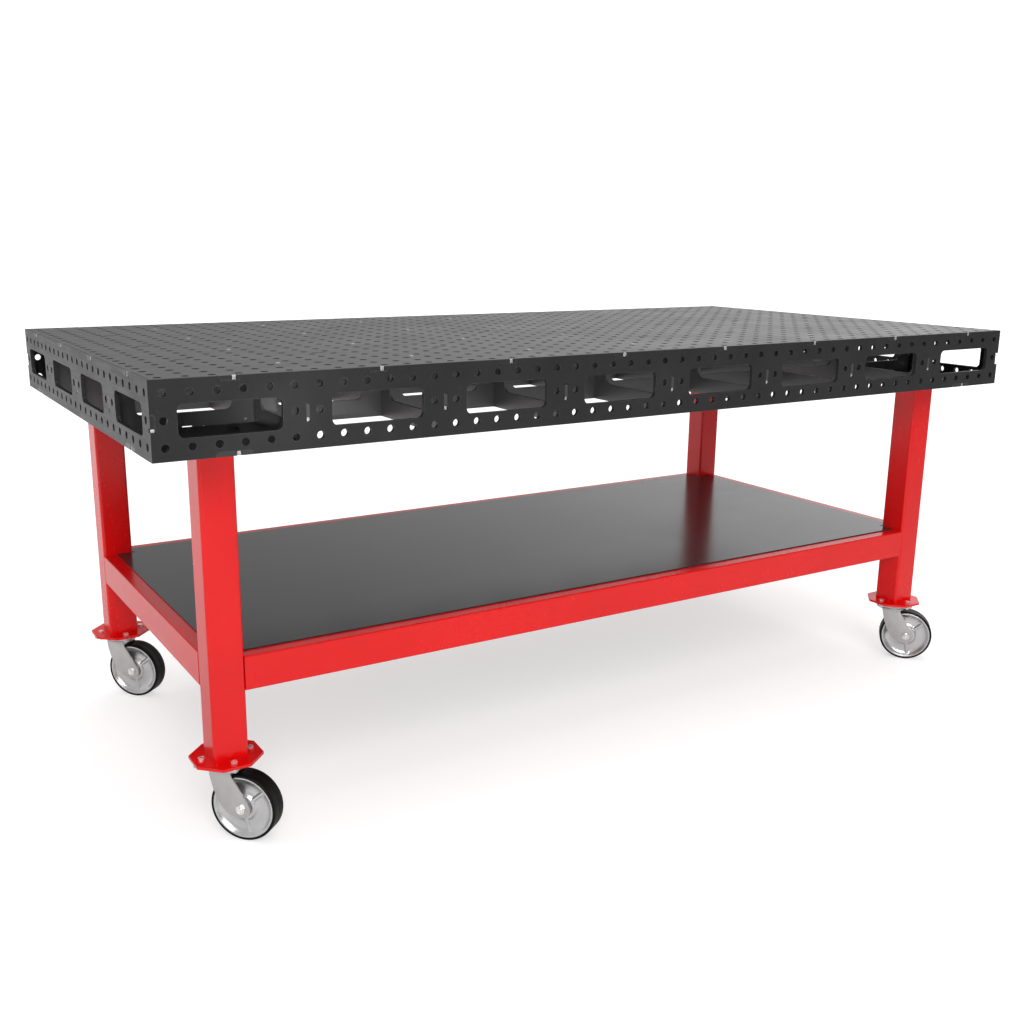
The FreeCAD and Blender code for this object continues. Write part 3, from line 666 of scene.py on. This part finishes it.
def tyre_geo():
    w = 22.0
    prof = [(70.2, -w + 1.0), (73.0, -w + 0.15), (75.0, -w + 1.1), (76.0, -w + 3.2), (WR, -w + 6.0), (WR, -0.9), (WR - 0.35, -0.45),
            (WR - 0.35, 0.45), (WR, 0.9), (WR, w - 6.0), (76.0, w - 3.2), (75.0, w - 1.1), (73.0, w - 0.15), (70.2, w - 1.0)]
    rad = [0, 1.6, 1.4, 2.5, 3.0, 0.4, 0.2, 0.2, 0.4, 3.0, 2.5, 1.4, 1.6, 0]
    return lathe(arc_round(prof, rad, 4), 144)


def smooth(x):
    x = max(0.0, min(1.0, x))
    return x * x * (3 - 2 * x)


def core_geo():
    """Cast centre as two polar height fields joined at rim and bore: hub, dished web and three soft ribs on each face."""
    rb, ro = 6.41, 70.2
    radii = [rb, 7.4, 9.0, 11, 13, 14.6, 15.6, 16.6, 18, 20, 22.5, 25, 26.5, 27.6, 28.8, 30, 31.5, 33.5, 36, 39, 42, 45, 48, 51, 54,
             56.5, 58.5, 60.5, 62, 63.4, 64.6, 65.6, 66.5, 67.2, 67.9, 68.8, 69.6, ro]

    def face(r):
        pts = [(rb, 20.9), (7.4, 21.5), (14.6, 21.5), (15.6, 21.2), (16.6, 19.9), (18, 19.4), (25, 18.9), (26.5, 18.3), (28.5, 16.2), (31.5, 13.2),
               (36, 11.2), (42, 10.2), (48, 10.0), (54, 10.9), (58.5, 12.8), (62, 15.6), (64.6, 18.7), (66.2, 20.6), (67.2, 21.0), (69.4, 21.0), (ro, 20.4)]
        for (a, ya), (b, yb) in zip(pts, pts[1:]):
            if r <= b + 1e-9:
                return ya + (yb - ya) * (r - a) / (b - a)
        return pts[-1][1]

    seg = 240
    ribs = [math.radians(a) for a in (39.5, 159.5, 279.5)]
    v, f = [], []

    def sheet(sign):
        base = len(v)
        for r in radii:
            y0 = face(r)
            crest = 17.4 - (r - 24) * 0.058
            for i in range(seg):
                a = 2 * math.pi * i / seg
                y = y0
                if 20 < r < 66.2:
                    for ra in ribs:
                        dd = (a - ra + math.pi) % (2 * math.pi) - math.pi
                        if abs(dd) < 1.2:
                            s = abs(r * math.sin(dd))
                            if r * math.cos(dd) > 0:
                                k = 1 - smooth((s - 1.5) / 4.6)
                                y = max(y, y0 + (crest - y0) * k) if crest > y0 else y
                v.append((r * math.cos(a), sign * y, r * math.sin(a)))
        n = len(radii)
        for k in range(n - 1):
            for i in range(seg):
                m = (i + 1) % seg
                f.append((base + k * seg + i, base + k * seg + m, base + (k + 1) * seg + m, base + (k + 1) * seg + i))
        return base, base + (n - 1) * seg

    a0, a1 = sheet(-1)
    b0, b1 = sheet(1)
    for i in range(seg):
        m = (i + 1) % seg
        f.append((a0 + i, a0 + m, b0 + m, b0 + i))
        f.append((a1 + i, a1 + m, b1 + m, b1 + i))
    return v, f


def spline(pts, per=8):
    """Smooth curve through the points."""
    out = []
    n = len(pts)
    for i in range(n - 1):
        p0 = Vector(pts[max(0, i - 1)])
        p1, p2 = Vector(pts[i]), Vector(pts[i + 1])
        p3 = Vector(pts[min(n - 1, i + 2)])
        for j in range(per):
            t = j / per
            q = 0.5 * ((2 * p1) + (-p0 + p2) * t + (2 * p0 - 5 * p1 + 4 * p2 - p3) * t * t + (-p0 + 3 * p1 - 3 * p2 + p3) * t ** 3)
            out.append((q.x, q.y))
    out.append(tuple(pts[-1]))
    return out


Z_CROWN = 162.5
CHEEK = [(-74, Z_CROWN), (-72.5, 146), (-69, 130), (-62.5, 109), (-52, 86), (-38, 67), (-20, 57.2), (0, 55.2),
         (12, 58.6), (18.8, 66), (20.6, 76.2), (17.8, 85.5), (10.5, 97), (1.5, 112), (-12, 135), (-20, 148), (-24, Z_CROWN)]


def fork_geo():
    g = Geo()
    left = spline(CHEEK[:12], 6)
    right = spline(CHEEK[11:], 6)
    out = [(x + TRAIL, z) for x, z in left[:-1] + right]
    # keep the top edge a little under the crown's own rounded edge
    out = [(x, min(z, Z_CROWN - 1.0)) for x, z in out]
    v, f = prism(out, 0, TCH, 1.1, 2)
    for y0 in (FIN, -FIN - TCH):
        g.add([(x, y0 + z, y) for x, y, z in v], f)
    yo = FIN + TCH
    crown = arc_round([(CHEEK[0][0] + TRAIL, -yo), (CHEEK[-1][0] + TRAIL, -yo), (CHEEK[-1][0] + TRAIL, yo), (CHEEK[0][0] + TRAIL, yo)], 4.0, 5)
    v, f = prism(crown, Z_CROWN - 6, Z_CROWN, 2.6, 4)
    g.add(v, f)
    # crown disc, lower race and its lip
    prof = arc_round([(6.41, Z_CROWN - 6), (38, Z_CROWN - 6), (38, Z_CROWN - 0.4), (36.2, Z_CROWN + 0.8), (36, 168.25), (30.5, 168.25), (29.8, 167.2), (6.41, 167.2)],
                     [0.3, 1.8, 1.8, 0.6, 1.2, 0.5, 0.4, 0.3], 4)
    v, f = lathe(prof, 96)
    g.add([(x, z, y) for x, y, z in v], f)
    return g


def plate_geo():
    g = Geo()
    out = arc_round([(-57.15, -50.8), (57.15, -50.8), (57.15, 50.8), (-57.15, 50.8)], 8.0, 8)
    v, f = prism(out, Z_CPB, Z_CPL, 0.9, 3)
    g.add(v, f)
    prof = arc_round([(6.6, 168.75), (30, 168.75), (34, 168.75), (34, 172.4), (35.2, Z_CPB + 0.2), (6.6, Z_CPB + 0.2)], [0.2, 0.0, 1.6, 1.0, 0.2, 0.2], 4)
    v, f = lathe(prof, 96)
    g.add([(x, z, y) for x, y, z in v], f)
    return g


def axle_geo():
    g = Geo()
    yo = FIN + TCH
    g.add(*hex_form(19.05, yo, yo + 6.5, dish=0.35))
    g.add(*thread(6.33, -yo - 7.5, -yo - 5.0, 1.6, 32, 6, 1.2, flip=True))
    v, f = lathe(arc_round([(0.02, -yo - 5.4), (6.3, -yo - 5.4), (6.3, yo + 0.5), (0.02, yo + 0.5)], 0.0, 1), 48)
    g.add([(x, z, y) for x, y, z in v], f)
    g.add(*hex_form(19.05, -6.0, 0.0, bore=6.5, top=True, bottom=True, turn=math.pi / 6), Matrix.Translation((0, 0, -yo)))
    return g


for t in TAGS:
    C = caster_frame(t)
    W = C @ AT_WHEEL
    g = Geo().add(*tyre_geo())
    vv, ff = g.metres(W)
    build("tyre_" + t, vv, ff, "tyre", "wheel_" + t, ["wheel_tyre_" + t], 40)
    g = Geo().add(*core_geo())
    vv, ff = g.metres(W)
    build("core_" + t, vv, ff, "core", "wheel_" + t, ["wheel_core_" + t], 50)
    vv, ff = fork_geo().metres(C)
    build("fork_" + t, vv, ff, "zinc", "swivel_" + t, ["caster_fork_" + t], 40)
    vv, ff = axle_geo().metres(W @ ALONG_Y)
    build("axle_" + t, vv, ff, "bolt", "swivel_" + t, ["caster_axle_" + t], 30)
    P = Matrix.Translation((LXY[t][0], LXY[t][1], 0)) @ Matrix.Rotation(math.radians(45), 4, "Z")
    vv, ff = plate_geo().metres(P)
    build("plate_" + t, vv, ff, "zinc", "table", ["caster_plate_" + t], 40)

# ---------------------------------------------------------------- fasteners
kings, heads, nuts, fbolts = Geo(), Geo(), Geo(), Geo()
rnd = random.Random(7)
for t in TAGS:
    x, y = LXY[t]
    P = Matrix.Translation((x, y, 0))
    kings.add(*hex_form(20.0, 150.4, 156.0, bottom=True, top=True), P)
    kings.add(*thread(6.3, 150.0, 151.2, 1.2, 32, 4, 0.6, flip=True), P)
    v, f = lathe(arc_round([(0.02, 151.0), (6.35, 151.0), (6.35, 180.4), (0.02, 180.4)], 0, 1), 48)
    kings.add([(a, c, b) for a, b, c in v], f, P)
    q = 76.2 / math.sqrt(2)
    for dx, dy in ((q, 0), (-q, 0), (0, q), (0, -q)):
        B = Matrix.Translation((x + dx, y + dy, 0))
        T = Matrix.Rotation(math.radians(rnd.uniform(0, 60)), 4, "Z")
        heads.add(*hex_form(12.7, Z_FOOT + 0.01, Z_FOOT + 4.8, dish=0.25), B @ T)
        T = Matrix.Rotation(math.radians(rnd.uniform(0, 60)), 4, "Z")
        heads.add(*thread(3.94, Z_CPB - 9.0, Z_CPB - 6.0, 1.41, 28, 6, 0.8, flip=True), B)
        v, f = lathe(arc_round([(0.02, Z_CPB - 6.4), (3.9, Z_CPB - 6.4), (3.9, Z_FOOT + 2), (0.02, Z_FOOT + 2)], 0, 1), 28)
        heads.add([(a, c, b) for a, b, c in v], f, B)
        nuts.add(*hex_form(12.7, Z_CPB - 6.8, Z_CPB - 1.2, bore=4.15, top=True, bottom=True), B @ T)
        nuts.add(*washer(4.15, 6.9, Z_CPB - 1.2, Z_CPB), B)
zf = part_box("flange_bolts")
z_low, z_top = zf[0].z * 1000, zf[1].z * 1000
for t in TAGS:
    x, y = LXY[t]
    for i in (-1, 1):
        for j in (-1, 1):
            B = Matrix.Translation((x + i * 76.2, y + j * 76.2, 0))
            T = Matrix.Rotation(math.radians(rnd.uniform(0, 60)), 4, "Z")
            fbolts.add(*washer(6.5, 12.5, z_top - 7.9, z_top - 5.9), B)
            fbolts.add(*hex_form(19.05, z_top - 5.9, z_top, dish=0.3), B @ T)
            v, f = lathe(arc_round([(0.02, z_low + 0.2), (6.3, z_low + 0.2), (6.3, z_top - 5), (0.02, z_top - 5)], 0, 1), 32)
            fbolts.add([(a, c, b) for a, b, c in v], f, B)
for nm, g, node in (("king_pins", kings, "caster_kingpins"), ("foot_bolt_set", heads, "foot_bolts"), ("foot_nut_set", nuts, "foot_nuts"),
                    ("flange_bolt_set", fbolts, "flange_bolts")):
    vv, ff = g.metres()
    if node == "flange_bolts":
        build(nm, vv, ff, "black", "table", [node], 30)
    else:
        build(nm, vv, ff, "bolt", "table", [node], 30)


# ---------------------------------------------------------------- tack welds
def lump(size, centre, long_axis, seed, lobes=2, ripple=0.10):
    """Bead in a pocket: a rounded block with ripples along its run, kept inside the pocket's size."""
    rg = random.Random(seed)
    nu, nv = 28, 20
    v, f = [], []
    ph = rg.uniform(0, 6.28)

    def sgnpow(c, e):
        return math.copysign(abs(c) ** e, c)

    e = 0.42
    for i in range(nv + 1):
        b = -math.pi / 2 + math.pi * i / nv
        for j in range(nu):
            a = 2 * math.pi * j / nu
            p = [sgnpow(math.cos(b), e) * sgnpow(math.cos(a), e), sgnpow(math.cos(b), e) * sgnpow(math.sin(a), e), sgnpow(math.sin(b), e)]
            t = p[long_axis]
            k = 1 - ripple * (0.5 + 0.5 * math.cos(t * math.pi * lobes * 2 + ph)) - 0.05 * (0.5 + 0.5 * math.sin(17 * t + 5 * a + ph))
            for ax in range(3):
                if ax != long_axis:
                    p[ax] *= k
                else:
                    p[ax] *= 1 - 0.04 * (0.5 + 0.5 * math.sin(7 * a + ph))
            v.append(tuple(centre[ax] + p[ax] * size[ax] / 2 for ax in range(3)))
    for i in range(nv):
        for j in range(nu):
            m = (j + 1) % nu
            f.append((i * nu + j, i * nu + m, (i + 1) * nu + m, (i + 1) * nu + j))
    return v, f


beads = Geo()
bm = bmesh.new()
bm.from_mesh(nodes["tack_welds"].data)
bmesh.ops.remove_doubles(bm, verts=bm.verts, dist=1e-7)
seen = set()
for v0 in bm.verts:
    if v0 in seen:
        continue
    grp, stack = [], [v0]
    seen.add(v0)
    while stack:
        w = stack.pop()
        grp.append(w.co * 1000)
        for e in w.link_edges:
            o2 = e.other_vert(w)
            if o2 not in seen:
                seen.add(o2)
                stack.append(o2)
    lo = Vector((min(c.x for c in grp), min(c.y for c in grp), min(c.z for c in grp)))
    hi = Vector((max(c.x for c in grp), max(c.y for c in grp), max(c.z for c in grp)))
    size = hi - lo
    ax = max(range(2), key=lambda k: size[k])
    beads.add(*lump([size.x - 0.1, size.y - 0.1, size.z - 0.1], (lo + hi) / 2, 2, len(beads.v), 2, 0.34))
bm.free()
vv, ff = beads.metres()
build("tack_bead_set", vv, ff, "weld", "table", ["tack_welds"], 60)


# ================================================================ floor, light, camera
def plane(name, pts, mat):
    me = bpy.data.meshes.new(name)
    me.from_pydata(pts, [], [tuple(range(len(pts)))])
    me.materials.append(mat)
    o = bpy.data.objects.new(name, me)
    bpy.context.scene.collection.objects.link(o)
    return o


fl = Net("pale_floor")
fl.set(Base_Color=fl.mix(fl.rng(fl.noise(1.2, 3, 0.5), 0, 1, 0.3, 0.7), (0.55, 0.55, 0.55), (0.57, 0.57, 0.57)), Roughness=0.9)
fl.b.inputs["Specular IOR Level"].default_value = 0.0
fl.b.inputs["Emission Color"].default_value = (1, 1, 1, 1)
flp = fl.t.nodes.new("ShaderNodeLightPath")
fxyz = fl.t.nodes.new("ShaderNodeSeparateXYZ")
fl.link(fl.obj, fxyz.inputs[0])
fx, fy = fxyz.outputs[0], fxyz.outputs[1]
frad = fl.math("SQRT", fl.math("ADD", fl.math("MULTIPLY", fx, fx), fl.math("MULTIPLY", fy, fy)))
seen_glow = fl.rng(frad, 0.56, 1.0, 2.5, 9.0)                       # evens the floor out to the horizon
back_left = fl.rng(fl.math("SUBTRACT", fy, fx), 0.0, 0.45, 2.5, 6.0)
front_right = fl.rng(fl.math("SUBTRACT", fx, fy), 1.0, 0.0, 2.5, 6.0)
lit_glow = fl.math("ADD", fl.math("MULTIPLY", front_right, 0.22), back_left)
glow = fl.math("ADD", fl.math("MULTIPLY", flp.outputs["Is Camera Ray"], seen_glow),
               fl.math("MULTIPLY", fl.math("SUBTRACT", 1.0, flp.outputs["Is Camera Ray"]), lit_glow))
fl.link(glow, fl.b.inputs["Emission Strength"])
floor = plane("floor", [(-60, -60, -0.0006), (60, -60, -0.0006), (60, 60, -0.0006), (-60, 60, -0.0006)], fl.m)

# soft white studio dome, brighter towards the back right, plain white where the camera looks straight at it
world = bpy.data.worlds.new("studio")
world.use_nodes = True
wt = world.node_tree
bg = wt.nodes["Background"]
wtc = wt.nodes.new("ShaderNodeTexCoord")


def lobe(direction, power, gain):
    n = wt.nodes.new("ShaderNodeVectorMath")
    n.operation = "DOT_PRODUCT"
    wt.links.new(wtc.outputs["Generated"], n.inputs[0])
    n.inputs[1].default_value = Vector(direction).normalized()
    c = wt.nodes.new("ShaderNodeClamp")
    wt.links.new(n.outputs["Value"], c.inputs[0])
    p = wt.nodes.new("ShaderNodeMath")
    p.operation = "POWER"
    p.inputs[1].default_value = power
    wt.links.new(c.outputs[0], p.inputs[0])
    q = wt.nodes.new("ShaderNodeMath")
    q.operation = "MULTIPLY"
    q.inputs[1].default_value = gain
    wt.links.new(p.outputs[0], q.inputs[0])
    return q.outputs[0]


total = None
for direction, power, gain in (((0.93, 0.36, 0.05), 6.0, 1.15), ((-0.85, 0.45, 0.10), 3.0, 0.35), ((0, 0, 1), 2.0, 0.15),
                               ((0.1, 0.98, 0.15), 5.0, 0.02), ((0.75, -0.66, -0.05), 4.0, -0.34)):
    part = lobe(direction, power, gain)
    n = wt.nodes.new("ShaderNodeMath")
    n.operation = "ADD"
    wt.links.new(part, n.inputs[0])
    if total is None:
        n.inputs[1].default_value = 0.42
    else:
        wt.links.new(total, n.inputs[1])
    total = n.outputs[0]
lp = wt.nodes.new("ShaderNodeLightPath")
mx = wt.nodes.new("ShaderNodeMix")
mx.data_type = "FLOAT"
wt.links.new(lp.outputs["Is Camera Ray"], mx.inputs[0])
wt.links.new(total, mx.inputs[2])
mx.inputs[3].default_value = 1.05
wt.links.new(mx.outputs[0], bg.inputs[1])
bg.inputs[0].default_value = (1, 1, 1, 1)
bpy.context.scene.world = world


def area(name, loc, target, size, power, size_y=None):
    l = bpy.data.lights.new(name, "AREA")
    l.energy = power
    l.size = size
    if size_y:
        l.shape = "RECTANGLE"
        l.size_y = size_y
    o = bpy.data.objects.new(name, l)
    bpy.context.scene.collection.objects.link(o)
    o.location = loc
    o.rotation_mode = "QUATERNION"
    o.rotation_quaternion = (Vector(target) - Vector(loc)).to_track_quat("-Z", "Y")
    return o


area("key", (-2.5, -6.5, 5.0), (0, 0, 0.5), 4.0, 360)
area("top_fill", (0.5, 0.5, 6.5), (0, 0, 0), 6.0, 260)
area("low_fill", (-2.9, -6.3, 1.55), (0, 0, 0.75), 1.6, 48).visible_glossy = False

# a snoot beside the low fill, on the front-left corner cell
sp = bpy.data.lights.new("cell_snoot", "SPOT")
sp.energy = 2000.0
sp.spot_size = math.radians(3.0)
sp.spot_blend = 1.0
sp.shadow_soft_size = 0.12
so = bpy.data.objects.new("cell_snoot", sp)
bpy.context.scene.collection.objects.link(so)
so.location = (-2.9, -6.3, 1.55)
so.rotation_mode = "QUATERNION"
so.rotation_quaternion = (Vector((-0.935, -0.61, 0.942)) - so.location).to_track_quat("-Z", "Y")
so.visible_glossy = False

AZ, EL, ROLL = math.radians(-31.647), math.radians(14.124), math.radians(0.515)
d = Vector((-math.sin(AZ) * math.cos(EL), math.cos(AZ) * math.cos(EL), -math.sin(EL)))
r = d.cross(Vector((0, 0, 1))).normalized()
u = r.cross(d)
r2 = math.cos(ROLL) * r + math.sin(ROLL) * u
u2 = -math.sin(ROLL) * r + math.cos(ROLL) * u
cam = bpy.data.cameras.new("cam")
cam.sensor_width = 36
cam.lens = 1127.50 * 36 / 1024
cam.shift_x = (512 - 495.454) / 1024
cam.shift_y = (516.903 - 512) / 1024
co = bpy.data.objects.new("cam", cam)
bpy.context.scene.collection.objects.link(co)
rot = Matrix((r2, u2, -d)).transposed().to_4x4()
co.matrix_world = Matrix.Translation((-1.74121, -2.64623, 1.27525)) @ rot
bpy.context.scene.camera = co
bpy.context.scene.view_settings.view_transform = "Standard"
